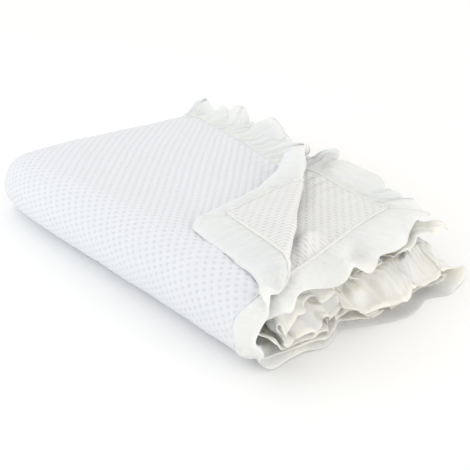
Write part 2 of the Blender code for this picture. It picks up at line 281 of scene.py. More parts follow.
# How the ruffles go along each frill: their strength, the distance from wave to wave, how far they
# are one-sided puffs, how far the hem reaches out or rises, and the room to either side
USUAL_RUFFLE = {
    "share": 1.0,
    "wave": 0.038,
    "puff": 0.0,
    "reach": 0.0,
    "rise": 0.0,
    "above": 0.0056,
    "below": 0.0056,
}
RUFFLES = {
    "foot": {
        "top": {"share": 0.18, "wave": 0.050, "rise": 0.0098, "above": 0.0140, "below": 0.0120},
        "top_low": {"share": 0.22, "wave": 0.050, "rise": 0.0150, "above": 0.0175, "below": 0.0120},
        "front": {"share": 0.22, "wave": 0.060, "above": 0.0090},
        "bottom": {"share": 0.32, "wave": 0.062, "reach": 0.004, "rise": -0.0015},
        "back": {"share": 0.90, "wave": 0.040},
        "inner": {"wave": 0.036, "reach": -0.007},
        "inner_front": {"share": 0.90, "wave": 0.034, "reach": -0.006},
        "last": {"wave": 0.038, "reach": -0.013},
    },
    "head": {
        "top": {"share": 0.28, "wave": 0.074, "reach": 0.009},
        "top_low": {"share": 0.30, "wave": 0.060, "reach": -0.015},
        "front": {"share": 0.35, "wave": 0.050, "reach": -0.005},
        "bottom": {"share": 0.90, "reach": 0.001},
        "back": {"share": 0.90},
        "inner": {"share": 1.10, "wave": 0.035, "reach": -0.003},
        "inner_front": {"wave": 0.034, "reach": -0.006},
        "last": {"share": 1.10, "wave": 0.038, "reach": -0.015},
    },
    "left": {
        "foot_half": {"share": 1.25, "wave": 0.050, "puff": 1.0, "above": 0.0180},
        "foot_tall": {
            "share": 1.50,
            "wave": 0.040,
            "puff": 1.0,
            "reach": 0.017,
            "rise": 0.007,
            "above": 0.0230,
        },
        "foot_crest": {"share": 0.14, "wave": 0.060, "reach": 0.004, "below": 0.0090},
        "foot_flap": {"share": 0.20, "wave": 0.050, "rise": 0.0050, "above": 0.0080},
        "doubling": {"share": 0.70, "wave": 0.040, "puff": 0.5},
        "head_half": {"share": 0.80, "wave": 0.046},
        "head_bare": {"share": 1.05, "wave": 0.042, "puff": -1.0, "reach": 0.003, "below": 0.0160},
    },
    "right": {
        "foot_half": {"puff": 0.4},
        "doubling": {"share": 0.80, "wave": 0.034, "puff": 0.4},
        "head_half": {"wave": 0.036, "puff": 0.4},
    },
}

# Where the frills' spots begin: on the end frills the low part of the top run, on the left frill
# the bare part of its head half and, from its far end, the spots of its foot half
TOP_LOW_SHARE = {"foot": 0.45, "head": 0.66}
HEAD_BARE_SHARE = 0.54
LEFT_SPOTS = ((0.70, "foot_flap"), (0.58, "foot_crest"), (0.22, "foot_tall"))
SPOT_FADE = 0.030

# The pointed hem of the left frill at the crease's crest, on the flat cloth
CREST_X = 0.331
CREST_REACH = 0.010
CREST_HALF_WIDTH = 0.022

# How unevenly the ruffles follow each other, and how their strength varies along the seam
NOISE_GAIN = 1.8
NOISE_DEPTH = 0.5
WAVE_SWAY = 0.50
WAVE_SWAY_SIZE = 0.085
STRENGTH = {"usual": 0.85, "spread": 0.65, "size": 0.065, "row": 2.0, "least": 0.15, "most": 1.5}
CORNER_CALM = 0.016

# Form of a ruffle across the frill: stiff at its root, leaning, and fullest at the hem; a puff is
# round on one side; a smaller wave runs in the middle
ROOT_REACH = 0.06
HEM_LEAN = 0.8
HEM_GROWTH = 1.1
PUFF_ROUNDNESS = 0.6
PUFF_DROP = 0.8
MIDDLE_WAVE = 0.9
MIDDLE_TURN = 0.7
MIDDLE_LEAN = 1.5
RISE_GROWTH = 1.3
SCALLOP = 0.0035

# Small gathers at a frill's seam, long folds along it, and what is left of both on calm spots
GATHERS = 0.0019
GATHER_FADE = 1.2
GATHERS_PER_WAVE = 2.5
GATHER_TURN = 1.1
DRAPES = 0.0014
DRAPES_ACROSS = 2.2
DRAPE_SWAY = 0.1
FLAT_SHARE = 0.30

# The floor under the lowest frill: how far the cloth bellies down to it, and presses on it
FLOOR_BELLY = 0.0085
BELLY_ROUNDNESS = 0.8
FLOOR_PRESS = 0.5

# Seam allowance along the panel's edges, on its reverse side
SEAM_HALF_WIDTH = 0.0026
SEAM_HALF_HEIGHT = 0.0010
SEAM_DROP = 0.0002
SEAM_SIDES = 8
SEAM_EVERY = 2
SEAM_UNEVENNESS = 0.25
SEAM_UNEVENNESS_SIZE = 0.006
SEAM_ROW = 4.4

# Dimpled cotton: its tones, with painted shade in its dimples and in the grooves between its rows, its
# yarn and fuzz, and how unevenly its dimples show
DIMPLED_SIDES = {
    "outside": {
        "cloth": (0.792, 0.800, 0.835),
        # shade: the colour of the painted shade in the dimples and between the rows
        "shade": (0.62, 0.615, 0.62),
        "dots": 0.64,
        "rows": 0.0,
    },
    "inside": {
        "cloth": (0.835, 0.840, 0.852),
        # shade: the colour of the painted shade in the dimples and between the rows
        "shade": (0.64, 0.625, 0.59),
        "dots": 0.42,
        "rows": 0.40,
    },
}
DIMPLED_FINISH = {"roughness": 0.92, "sheen": 0.15, "glow": 0.0}
DIMPLE_BUMP = 0.0009
DIMPLE_PATCH_SIZE = 0.05
DIMPLE_PATCH_LEAST = 0.45
YARN_PITCH = 0.0019
YARN_HEIGHT = 0.00010
FUZZ_SIZE = 0.0022
FUZZ_HEIGHT = 0.00025

# Plain cotton of the frills: its tones, with painted shade along the gather lines and toward the seam
# and painted warm bounce light deep in the open end, its threads, and the fine lines that the gathers
# draw
PLAIN_CLOTH = (0.838, 0.856, 0.868)
# Colour of the painted shade, along the gather lines and toward the seam
PLAIN_PAINTED_SHADE = (0.81, 0.800, 0.745)
# Painted warm bounce light for the frills that lie in shade deep in the open end
PAINTED_BOUNCE_LIGHT = (0.880, 0.865, 0.800)
PLAIN_FINISH = {"roughness": 0.86, "sheen": 0.10, "glow": 0.55}
PLAIN_PATCH_SIZE = 0.03
# Painted shade toward the seam: how much darker and warmer the frill is painted at its root
ROOT_PAINTED_SHADE = 0.4
THREAD_PITCH = 0.0011
THREAD_HEIGHT = 0.00005
GATHER_LINE_SIZE = 0.0042
GATHER_LINE_STRETCH = 0.12
GATHER_LINE_DETAIL = 3.0
GATHER_LINE_HEIGHT = 0.0019

# Where the open end's frills lie in each other's shade, from its start to its full depth; there a
# warmer, lighter tone is painted on as bounce light
PAINTED_BOUNCE_X = (0.180, 0.225)
PAINTED_BOUNCE_Y = (-0.175, -0.135)
PAINTED_BOUNCE_Z = (0.088, 0.045)

# How both cottons take the light
GLOW_RADIUS = (1.0, 0.9, 0.7)
GLOW_DEPTH = 0.0025
SPECULAR = 0.25
SHEEN_ROUGHNESS = 0.6

# Pale floor, even light from all round, a cool light at the front and a fill at the open end
FLOOR_SIZE = 12.0
FLOOR_TONE = (0.97, 0.97, 0.97)
SKY_TONE = (1.0, 0.992, 0.972)
SKY_STRENGTH = 1.03
LAMP_SIZE = 0.9
LAMP_AIM = (0.0, 0.0, 0.05)
LAMPS = {
    "cool_key": {"place": (-0.70, -1.10, 0.60), "power": 2.4, "tint": (0.70, 0.88, 1.0)},
    "end_fill": {"place": (1.36, 0.10, 0.09), "power": 3.6, "tint": (1.0, 0.965, 0.90)},
}

# Camera, in the flat plan's frame
CAMERA_PLACE = (0.972, -0.454, 0.533)
CAMERA_AIM = (0.274, 0.208, 0.0)
CAMERA_LENS = 60.6
CAMERA_SENSOR = 36.0


def smooth(value):
    """Ease from 0 to 1."""
    value = min(max(value, 0.0), 1.0)
    return value * value * (3.0 - 2.0 * value)


def mix(first, second, share):
    return first + (second - first) * share


def turn_corner(x, y, lift):
    """Roll the top layer's corner back over itself about the crease."""
    across = (cos(CREASE_ANGLE), sin(CREASE_ANGLE))
    beyond = (x - CREASE_X) * across[0] + (y - CREASE_Y) * across[1] + CREASE_RADIUS
    if beyond <= 0.0:
        return x, y, lift
    half_turn = pi * CREASE_RADIUS
    angle = min(beyond / CREASE_RADIUS, pi)
    over = max(beyond - half_turn, 0.0)
    shift = (CREASE_RADIUS - lift) * sin(angle) - over - beyond
    height = CREASE_RADIUS - (CREASE_RADIUS - lift) * cos(angle)
    height -= FLAP_SINK * smooth(over / FLAP_SINK_REACH)
    return x + across[0] * shift, y + across[1] * shift, height


def doubled(cloth_x, lift):
    """Fold the cloth in half: give the distance from the doubling and the side offset."""
    if cloth_x >= 0.0:
        return DOUBLING_X + cloth_x, DOUBLING_RADIUS + lift
    if cloth_x > -DOUBLING_ARC:
        angle = -cloth_x / DOUBLING_RADIUS
        radius = DOUBLING_RADIUS + lift
        return DOUBLING_X - radius * sin(angle), radius * cos(angle)
    return DOUBLING_X - cloth_x - DOUBLING_ARC, -DOUBLING_RADIUS - lift


def folded(x, cloth_y, side):
    """Carry the doubled cloth round the stack's folds: top run, bottom run, two inner runs."""
    stretch = 1.0 + BACK_FOLD_SKEW * (x / OPEN_END["back"]["foot"] - 0.5)
    centre_z = LOWEST_RUN_Z + FRONT_RADIUS
    if cloth_y >= FRONT_FOLD_Y:
        return cloth_y, centre_z + FRONT_RADIUS + side
    travelled = FRONT_FOLD_Y - cloth_y
    if travelled < pi * FRONT_RADIUS:
        angle = travelled / FRONT_RADIUS
        radius = FRONT_RADIUS + side
        return FRONT_FOLD_Y - radius * sin(angle), centre_z + radius * cos(angle)
    travelled -= pi * FRONT_RADIUS
    if travelled < RUN_LENGTH:
        return FRONT_FOLD_Y + travelled * stretch, LOWEST_RUN_Z - side
    travelled -= RUN_LENGTH
    back_y = FRONT_FOLD_Y + RUN_LENGTH * stretch
    if travelled < pi * LAYER_PITCH:
        angle = travelled / LAYER_PITCH
        radius = LAYER_PITCH + side
        return back_y + radius * sin(angle), LOWEST_RUN_Z + LAYER_PITCH - radius * cos(angle)
    travelled -= pi * LAYER_PITCH
    if travelled < RUN_LENGTH:
        return back_y - travelled * stretch, LOWEST_RUN_Z + 2 * LAYER_PITCH + side
    travelled -= RUN_LENGTH
    if travelled < pi * LAYER_PITCH:
        angle = travelled / LAYER_PITCH
        radius = LAYER_PITCH - side
        return FRONT_FOLD_Y - radius * sin(angle), centre_z - radius * cos(angle)
    travelled -= pi * LAYER_PITCH
    return FRONT_FOLD_Y + travelled, LOWEST_RUN_Z + 4 * LAYER_PITCH - side


def settled(x, y, z):
    """Give the stack its uneven shape; inside the cloth's edges heights only scale, so layers
    stay apart there.
    """
    height = z / STACK_HEIGHT
    scale = 1.0 - DOUBLED_END_LOSS * (1.0 - smooth(x / DOUBLED_END_REACH))
    scale -= PINCH * exp(-x / PINCH_REACH)
    scale -= BACK_SINK * exp(-max(STACK_DEPTH - y, 0.0) / BACK_SINK_REACH)
    swell = sin(2 * pi * x / SWELL["x_length"] + SWELL["phase"]) * sin(2 * pi * y / SWELL["y_length"])
    scale += SWELL["share"] * swell
    beyond_end = (x - OPEN_END_X) / FRILL_WIDTH
    scale -= OPEN_END_DROOP * smooth(beyond_end) * smooth(y / DROOP_FADE_Y)
    for wave in END_WAVES:
        turn = sin(2 * pi * y / wave["length"] + wave["phase"])
        scale += wave["share"] * smooth(beyond_end) * turn * smooth(y / WAVE_FADE_Y)
    beyond_side = (y - SIDE_Y) / FRILL_WIDTH
    scale += SIDE_LIFT * smooth(beyond_side) * smooth((x - SIDE_LIFT_X) / SIDE_LIFT_REACH)
    for wave in SIDE_WAVES:
        turn = sin(2 * pi * x / wave["length"] + wave["phase"])
        scale += wave["share"] * smooth(beyond_side) * turn
    from_peak = ((x - PEAK_X) ** 2 + (y - PEAK_Y) ** 2) / PEAK_REACH ** 2
    scale += PEAK_LIFT * exp(-from_peak) * height ** 4
    pull = max(0.0, 1.0 - x / CORNER_REACH) ** 2 * max(0.0, 1.0 - y / CORNER_REACH) ** 2
    set_back = DOUBLED_END_SET_BACK * height * height * exp(-max(x, 0.0) / SET_BACK_REACH)
    skew = DOUBLED_END_SKEW * (1.0 - smooth(y / STACK_DEPTH)) * (1.0 - smooth(x / SKEW_REACH))
    z *= scale * (1.0 - hem_sag(x, y, z))
    past_edge = smooth((x - SPREAD_X) / HEM_SAG_REACH)
    spread = smooth((y - SPREAD_START_Y) / (SPREAD_END_Y - SPREAD_START_Y))
    spread *= smooth(2.0 - z / SPREAD_TOP)
    push = crumple(x, y, z)
    x += SPREAD * past_edge * spread
    x += CORNER_PULL * pull + set_back - skew + push.x
    y += CORNER_PULL * pull + push.y
    return x - ORIGIN_X, y - ORIGIN_Y, max(z + push.z, 0.0)


def hem_sag(x, y, z):
    """Share of its height that the cloth past the open end's edge loses, more in the lowest layers."""
    sag = HEM_SAG + LOW_SAG * smooth(1.0 - z / LOW_SAG_TOP)
    sag *= smooth((x - HEM_SAG_X) / HEM_SAG_REACH)
    sag *= smooth((y - HEM_SAG_START_Y) / HEM_SAG_FADE_Y)
    return sag * mix(1.0, HEM_SAG_LEFT, smooth((y - HEM_SAG_END_Y) / HEM_SAG_FADE_Y))


def crumple(x, y, z):
    """A slow push in all directions beyond the cloth's edges; it is none inside them."""
    beyond = max(smooth((x - OPEN_END_X) / CRUMPLE_FADE), smooth((y - SIDE_Y) / CRUMPLE_FADE))
    if beyond == 0.0:
        return Vector((0.0, 0.0, 0.0))
    push = noise.noise_vector(Vector((x, y, z)) / CRUMPLE_SIZE) * CRUMPLE * beyond
    low = smooth((FINE_CRUMPLE_TOP - z) / FINE_CRUMPLE_FADE) * smooth((x - OPEN_END_X) / CRUMPLE_FADE)
    low *= smooth(z / FINE_CRUMPLE_FADE)
    if low > 0.0:
        push += noise.noise_vector(Vector((x, y, z)) / FINE_CRUMPLE_SIZE) * FINE_CRUMPLE * low
    push.z *= smooth(z / CRUMPLE_FLOOR_FADE)
    return push


def place(cloth_x, cloth_y, lift):
    """From the flat cloth to the folded stack."""
    if cloth_x > 0.0 and cloth_y > FRONT_FOLD_Y - pi * FRONT_RADIUS:
        turned_x, cloth_y, lift = turn_corner(cloth_x + DOUBLING_X, cloth_y, lift)
        cloth_x = turned_x - DOUBLING_X
    x, side = doubled(cloth_x, lift)
    y, z = folded(x, cloth_y, side)
    return settled(x, y, z)


def even_steps(count):
    return [step / count for step in range(1, count + 1)]


def open_end(column, stretch, share):
    """Read the open end's table at a station along the folds."""
    ends = {
        "top": ("top_back", "front_top"),
        "front": ("front_top", "front_low"),
        "bottom": ("front_low", "back"),
        "back": ("back", "back"),
        "inner": ("back", "inner_front"),
        "inner_front": ("inner_front", "inner_front"),
        "last": ("inner_front", "inner_back"),
    }[stretch]
    return mix(OPEN_END[ends[0]][column], OPEN_END[ends[1]][column], smooth(share))


def long_edge(edge, half, share):
    """Where a free long edge lies at a station across the doubling, and its frill's reach."""
    if half == "doubling":
        line = mix(edge["foot_half"]["doubled"], edge["head_half"]["doubled"], share)
        reach = mix(edge["foot_half"]["frill_doubled"], edge["head_half"]["frill_doubled"], share)
        return line, reach
    line = mix(edge[half]["doubled"], edge[half]["open"], share)
    narrowing = smooth((share - NARROWING_START) / (NARROWING_END[half] - NARROWING_START))
    reach = mix(edge[half]["frill_doubled"], edge[half]["frill_open"], narrowing)
    return line, reach


def cloth_x_at(half, share, stretch, along_share, width_share, gap=0.0):
    """Flat X of a station, as a share of the way to the open end's edge or into its frill."""
    if half == "doubling":
        return -DOUBLING_ARC * share
    column = "foot" if half == "foot_half" else "head"
    edge = open_end(column, stretch, along_share)
    edge += open_end(column + "_frill", stretch, along_share) * width_share + gap
    reach = (edge - DOUBLING_X) * share
    return reach if half == "foot_half" else -DOUBLING_ARC - reach


def cloth_y_at(stretch, share, half, across_share, width_share, gap=0.0):
    """Flat Y of a station: metric along the folds, so the crease stays straight."""
    front_end = FRONT_FOLD_Y - pi * FRONT_RADIUS
    back_start = front_end - RUN_LENGTH
    back_end = back_start - pi * LAYER_PITCH
    inner_end = back_end - RUN_LENGTH
    last_start = inner_end - pi * LAYER_PITCH
    left, left_frill = long_edge(LEFT_EDGE, half, across_share)
    right, right_frill = long_edge(RIGHT_EDGE, half, across_share)
    left += left_frill * width_share + gap
    right += right_frill * width_share + gap
    ends = {
        "top": (left, FRONT_FOLD_Y),
        "front": (FRONT_FOLD_Y, front_end),
        "bottom": (front_end, back_start),
        "back": (back_start, back_end),
        "inner": (back_end, inner_end),
        "inner_front": (inner_end, last_start),
        "last": (last_start, last_start - (right - FRONT_FOLD_Y)),
    }[stretch]
    return mix(ends[0], ends[1], share)


def row_stations(cells):
    """Stations along the folds as (stretch, share), with the given cells in each stretch."""
    stations = [("top", 0.0)]
    for stretch, count in cells:
        stations += [(stretch, share) for share in even_steps(count)]
    return stations


def column_stations(foot_shares, doubling_shares, head_shares):
    """Stations across the doubling, from the foot edge round to the head edge."""
    stations = [("foot_half", share) for share in reversed([0.0] + foot_shares)]
    stations += [("doubling", share) for share in doubling_shares]
    stations += [("head_half", share) for share in head_shares]
    return stations


def undulation(x, y):
    """Slow rise and fall of the panel, with the soft folds of its top."""
    size = UNDULATION_SIZE
    lift = 0.0
    for wave in UNDULATIONS:
        spot = Vector((wave["finer"] * x / size, wave["finer"] * y / size, wave["row"]))
        lift += wave["share"] * UNDULATION * noise.noise(spot)
    for fold in SOFT_FOLDS if x > 0.0 else SECOND_LAYER_FOLDS:
        turn = radians(fold["angle"])
        away_x = x - fold["x"]
        away_y = y - fold["y"]
        along = (away_x * cos(turn) + away_y * sin(turn)) / fold["length"]
        across = (away_y * cos(turn) - away_x * sin(turn)) / fold["width"]
        lift += fold["height"] * exp(-along * along - across * across)
    return lift


def dimple(u, v):
    """Depth of the weave's dimples, 1 at the bottom of each and 0 between them."""
    wave = cos(2 * pi * u / DIMPLE_X) * cos(2 * pi * v / DIMPLE_Y)
    return (0.5 + 0.5 * wave) ** DIMPLE_SHARPNESS


def swayed(x, y):
    """The weave's own coordinates, which sway a little against the flat cloth."""
    push = noise.noise_vector(Vector((x, y, DIMPLE_SWAY_ROW)) / DIMPLE_SWAY_SIZE)
    skew = -WEAVE_SKEW if x > WEAVE_TURN_X else WEAVE_SKEW
    return x + skew * y + DIMPLE_SWAY * push.x, y + WEAVE_DRIFT * abs(x) + DIMPLE_SWAY * push.y


def pucker(x, y, to_end, to_side):
    """Small drawn-in waves beside the seams."""
    end_sway = noise.noise(Vector((0.0, y / PUCKER_SWAY_SIZE, END_PUCKER_ROW)))
    side_sway = noise.noise(Vector((x / PUCKER_SWAY_SIZE, 0.0, SIDE_PUCKER_ROW)))
    end_wave = sin(2 * pi * y / PUCKER_LENGTH + PUCKER_SWAY * end_sway)
    side_wave = sin(2 * pi * x / PUCKER_LENGTH + PUCKER_SWAY * side_sway)
    strength = FLAP_PUCKER if x > FLAP_CLOTH_X else 1.0
    if x < -DOUBLING_ARC:
        strength = SECOND_LAYER_PUCKER
    lift = min(strength, FLAP_PUCKER) * PUCKER * end_wave * exp(-to_end / PUCKER_REACH)
    lift *= smooth(to_end / PUCKER_START)
    side_reach = PUCKER_REACH * mix(1.0, strength, PUCKER_SIDE_REACH_SHARE)
    start = PUCKER_START * strength ** 2
    return lift + strength * PUCKER * side_wave * exp(-to_side / side_reach) * smooth(to_side / start)


def shows_on_top(x, y, right_side):
    """The outside of the top and of the front fold, and the doubling's outside."""
    return right_side and x > -DOUBLING_ARC and y > FRONT_FOLD_Y - pi * FRONT_RADIUS


def shows_under_flap(x, y, right_side):
    """The part of the second layer that the turned corner uncovers; its reverse is up."""
    return not right_side and x < -DOUBLING_ARC - HEAD_NEAR_START * HEAD_END_X and y > FRONT_FOLD_Y


def shows_on_flap(x, y, right_side):
    """The reverse side of the turned corner."""
    return not right_side and x > FLAP_CLOTH_X and y > 0.0


def refine(mesh, shows, cuts):
    """Subdivide the faces that show."""
    edges = {}
    for face in mesh.faces:
        middle = face.calc_center_median()
        if abs(face.normal.z) > LYING_FACE and shows(middle.x, middle.y, middle.z > 0.0):
            edges.update(dict.fromkeys(face.edges))
    bmesh.ops.subdivide_edges(mesh, edges=list(edges), cuts=cuts, use_grid_fill=True)


def cut_at_crease(mesh):
    """Cut the flat cloth along lines beside the crease, so that it can roll over smoothly."""
    across = (cos(CREASE_ANGLE), sin(CREASE_ANGLE), 0.0)
    region = []
    for face in mesh.faces:
        if all(vert.co.x > FLAP_CLOTH_X and vert.co.y > FLAP_CLOTH_Y for vert in face.verts):
            region.append(face)
    for cut in range(CREASE_CUTS + 1):
        beyond = pi * CREASE_RADIUS * cut / CREASE_CUTS - CREASE_RADIUS
        point = (
            CREASE_X - DOUBLING_X + across[0] * beyond,
            CREASE_Y + across[1] * beyond,
            0.0,
        )
        region = [face for face in region if face.is_valid]
        edges = dict.fromkeys(edge for face in region for edge in face.edges)
        verts = dict.fromkeys(vert for face in region for vert in face.verts)
        cut_parts = bmesh.ops.bisect_plane(
            mesh,
            geom=region + list(edges) + list(verts),
            dist=CUT_TOLERANCE,
            plane_co=point,
            plane_no=across,
        )
        region = [part for part in cut_parts["geom"] if isinstance(part, bmesh.types.BMFace)]


def weave_layers(mesh):
    """Vertex values that hold the weave's coordinates until the mesh is folded."""
    return mesh.verts.layers.float.new("weave_u"), mesh.verts.layers.float.new("weave_v")


def join_sides(mesh, right_side, reverse):
    """Faces on both grids of vertices, and a rim that closes them into one sheet."""
    rows = len(right_side)
    columns = len(right_side[0])
    for i in range(rows - 1):
        for j in range(columns - 1):
            cell = ((i, j), (i + 1, j), (i + 1, j + 1), (i, j + 1))
            mesh.faces.new([right_side[k][m] for k, m in cell])
            cell = ((i, j), (i, j + 1), (i + 1, j + 1), (i + 1, j))
            face = mesh.faces.new([reverse[k][m] for k, m in cell])
            face.material_index = 1
    rim = [(0, j) for j in range(columns - 1)]
    rim += [(i, columns - 1) for i in range(rows - 1)]
    rim += [(rows - 1, j) for j in range(columns - 1, 0, -1)]
    rim += [(i, 0) for i in range(rows - 1, 0, -1)]
    for (i, j), (k, m) in zip(rim, rim[1:] + rim[:1]):
        mesh.faces.new((right_side[i][j], right_side[k][m], reverse[k][m], reverse[i][j]))


def finish_cloth(mesh, name, materials):
    """Fold the flat mesh into the stack and make it an object; the weave goes in its UV map."""
    weave = mesh.loops.layers.uv.new("weave")
    weave_u = mesh.verts.layers.float["weave_u"]
    weave_v = mesh.verts.layers.float["weave_v"]
    for face in mesh.faces:
        face.smooth = True
        for loop in face.loops:
            loop[weave].uv = (loop.vert[weave_u], loop.vert[weave_v])
    for vert in mesh.verts:
        vert.co = place(vert.co.x, vert.co.y, vert.co.z)
    bmesh.ops.recalc_face_normals(mesh, faces=mesh.faces[:])
    data = bpy.data.meshes.new(name)
    mesh.to_mesh(data)
    mesh.free()
    for layer in ("weave_u", "weave_v", "to_end", "to_side"):
        if layer in data.attributes:
            data.attributes.remove(data.attributes[layer])
    for material in materials:
        data.materials.append(material)
    piece = bpy.data.objects.new(name, data)
    bpy.context.scene.collection.objects.link(piece)
    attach(piece, "root")
    return piece


def from_edges(x, y, half, across, stretch, along):
    """How far a point of the panel lies from its end edge and from its free long edge."""
    to_end = FAR_FROM_EDGE
    to_side = FAR_FROM_EDGE
    if half != "doubling":
        to_end = abs(x - cloth_x_at(half, 1.0, stretch, along, 0.0))
    if stretch == "top":
        to_side = abs(y - cloth_y_at("top", 0.0, half, across, 0.0))
    if stretch == "last":
        to_side = abs(y - cloth_y_at("last", 1.0, half, across, 0.0))
    return to_end, to_side


def make_panel(materials):
    """The dimpled panel, finer where it shows."""
    mesh = bmesh.new()
    weave_u, weave_v = weave_layers(mesh)
    to_end = mesh.verts.layers.float.new("to_end")
    to_side = mesh.verts.layers.float.new("to_side")
    near = [mix(HEAD_NEAR_START, 1.0, share) for share in even_steps(HEAD_NEAR_CELLS)]
    head_shares = [HEAD_NEAR_START * share for share in even_steps(HEAD_FAR_CELLS)] + near
    columns = column_stations(even_steps(FOOT_CELLS), even_steps(DOUBLING_CELLS), head_shares)
    sides = {1.0: [], -1.0: []}
    for stretch, along in row_stations(PANEL_ROWS):
        for side in sides:
            row = []
            for half, across in columns:
                x = cloth_x_at(half, across, stretch, along, 0.0)
                y = cloth_y_at(stretch, along, half, across, 0.0)
                vert = mesh.verts.new((x, y, side * PANEL_BODY / 2))
                vert[to_end], vert[to_side] = from_edges(x, y, half, across, stretch, along)
                row.append(vert)
            sides[side].append(row)
    join_sides(mesh, sides[1.0], sides[-1.0])
    mesh.normal_update()
    refine(mesh, shows_on_top, TOP_CUTS)
    refine(mesh, shows_under_flap, TOP_CUTS)
    refine(mesh, shows_on_flap, FLAP_CUTS)
    cut_at_crease(mesh)
    for vert in mesh.verts:
        x, y, z = vert.co
        right_side = z > 0.0
        edge = min(vert[to_end], vert[to_side])
        u, v = swayed(x, y)
        vert[weave_u] = u
        vert[weave_v] = v
        half_body = mix(PANEL_EDGE, PANEL_BODY, smooth(edge / EDGE_TAPER)) / 2
        if shows_on_top(x, y, right_side) or shows_under_flap(x, y, right_side):
            half_body -= DIMPLE_DEPTH * dimple(u, v) * smooth(edge / EDGE_TAPER)
        lift = undulation(x, y) * smooth(edge / EDGE_TAPER)
        if y > FRONT_FOLD_Y - pi * FRONT_RADIUS:
            lift += pucker(x, y, vert[to_end], vert[to_side])
        vert.co.z = lift + (half_body if right_side else -half_body)
    return finish_cloth(mesh, "dimpled_panel", materials)


def rounded(x, y, half):
    """Draw a frill's mitred corner in toward an arc about the panel's corner."""
    if half == "doubling":
        return x, y
    for side, stretch, along in (("left", "top", 0.0), ("right", "last", 1.0)):
        corner_x = cloth_x_at(half, 1.0, stretch, along, 0.0)
        corner_y = cloth_y_at(stretch, along, half, 1.0, 0.0)
        reach_x = cloth_x_at(half, 1.0, stretch, along, 1.0) - corner_x
        reach_y = cloth_y_at(stretch, along, half, 1.0, 1.0) - corner_y
        share_x = (x - corner_x) / reach_x
        share_y = (y - corner_y) / reach_y
        if share_x > 0.0 and share_y > 0.0:
            draw = max(share_x, share_y) / (share_x ** 2 + share_y ** 2) ** 0.5
            draw = mix(1.0, draw, CORNER_ROUNDING[half.replace("half", side)])
            return corner_x + (x - corner_x) * draw, corner_y + (y - corner_y) * draw
    return x, y


def frill_stations(edge):
    """Stations along a frill's seam as (half, share across, stretch, share along)."""
    if edge in ("foot", "head"):
        return [(edge + "_half", 1.0, stretch, along) for stretch, along in row_stations(FRILL_ROWS)]
    stretch, along = ("top", 0.0) if edge == "left" else ("last", 1.0)
    columns = column_stations(
        even_steps(FRILL_FOOT_CELLS),
        even_steps(FRILL_DOUBLING_CELLS),
        even_steps(FRILL_HEAD_CELLS),
    )
    return [(half, across, stretch, along) for half, across in columns]


def frill_base(edge):
    """Flat grid of a frill, a row from seam to hem at each station, with its floor share and spot."""
    at_end = edge in ("foot", "head")
    grid = []
    floor = []
    spots = []
    for half, across, stretch, along in frill_stations(edge):
        row = []
        for width in FRILL_CROSS:
            tuck = -ROOT_TUCK * (1.0 - width)
            x = cloth_x_at(half, across, stretch, along, width, tuck if at_end else 0.0)
            y = cloth_y_at(stretch, along, half, across, width, 0.0 if at_end else tuck)
            row.append((*rounded(x, y, half), 0.0))
        grid.append(row)
        floor.append(on_floor(half, stretch, along))
        spots.append(ruffle_spot(edge, half, across, stretch, along))
    return np.array(grid), np.array(floor), spots


def ruffle_spot(edge, half, across, stretch, along):
    """Name of the spot, in the table of ruffles, where a station of a frill lies."""
    if edge in TOP_LOW_SHARE:
        low = stretch == "top" and along > TOP_LOW_SHARE[edge]
        return "top_low" if low else stretch
    if edge == "right" or half == "doubling":
        return half
    if half == "head_half":
        return "head_bare" if across > HEAD_BARE_SHARE else half
    for start, spot in LEFT_SPOTS:
        if across > start:
            return spot
    return half


def on_floor(half, stretch, share):
    """How far the outer half lies on the surface below, from 0 to 1."""
    if half != "foot_half":
        return 0.0
    if stretch == "front":
        return smooth(2 * share - 1)
    if stretch == "back":
        return smooth(1 - 2 * share)
    return 1.0 if stretch == "bottom" else 0.0


def noise_row(places, size, row):
    """Smooth noise from about -1 to 1 at places along a seam."""
    spots = [Vector((place_along / size, row, NOISE_DEPTH)) for place_along in places]
    return np.array([NOISE_GAIN * noise.noise(spot) for spot in spots])


def eased(values, along):
    """Ease a row of values into each other along the seam."""
    values = np.array(values)
    nearness = np.exp(-((along[:, None] - along[None, :]) / SPOT_FADE) ** 2)
    return nearness @ values / nearness.sum(axis=1)


def hem_waves(phase, width, puff):
    """Waves or one-sided puffs that grow toward the hem, with smaller waves in the middle."""
    lean = phase + HEM_LEAN * width
    puffs = (2.0 * np.abs(np.sin(lean / 2)) ** PUFF_ROUNDNESS - PUFF_DROP) * np.sign(puff)
    hem = width ** HEM_GROWTH * (np.sin(lean) * (1.0 - np.abs(puff)) + puffs * np.abs(puff))
    turn = 2 * phase + MIDDLE_TURN + MIDDLE_LEAN * width
    return hem + MIDDLE_WAVE * width * (1.0 - width) * np.sin(turn)


def seam_folds(phase, width):
    """Small gathers at the seam and long folds along the frill."""
    gather = 2.0 * np.abs(np.sin(GATHERS_PER_WAVE * phase + GATHER_TURN)) - 1.0
    drape = np.sin(2 * pi * (DRAPES_ACROSS * width + DRAPE_SWAY * np.sin(phase / 2)))
    return GATHERS * (1.0 - width) ** GATHER_FADE * gather + DRAPES * np.sin(pi * width) * drape


def along_seam(line):
    """Steps from point to point of a seam, and each point's distance from its start."""
    steps = np.linalg.norm(np.diff(line, axis=0), axis=1)
    return steps, np.concatenate(([0.0], np.cumsum(steps)))


def outward(grid):
    """The way from seam to hem at each station, of length 1."""
    way = grid[:, -1] - grid[:, 0]
    return way / np.linalg.norm(way, axis=1)[:, None]


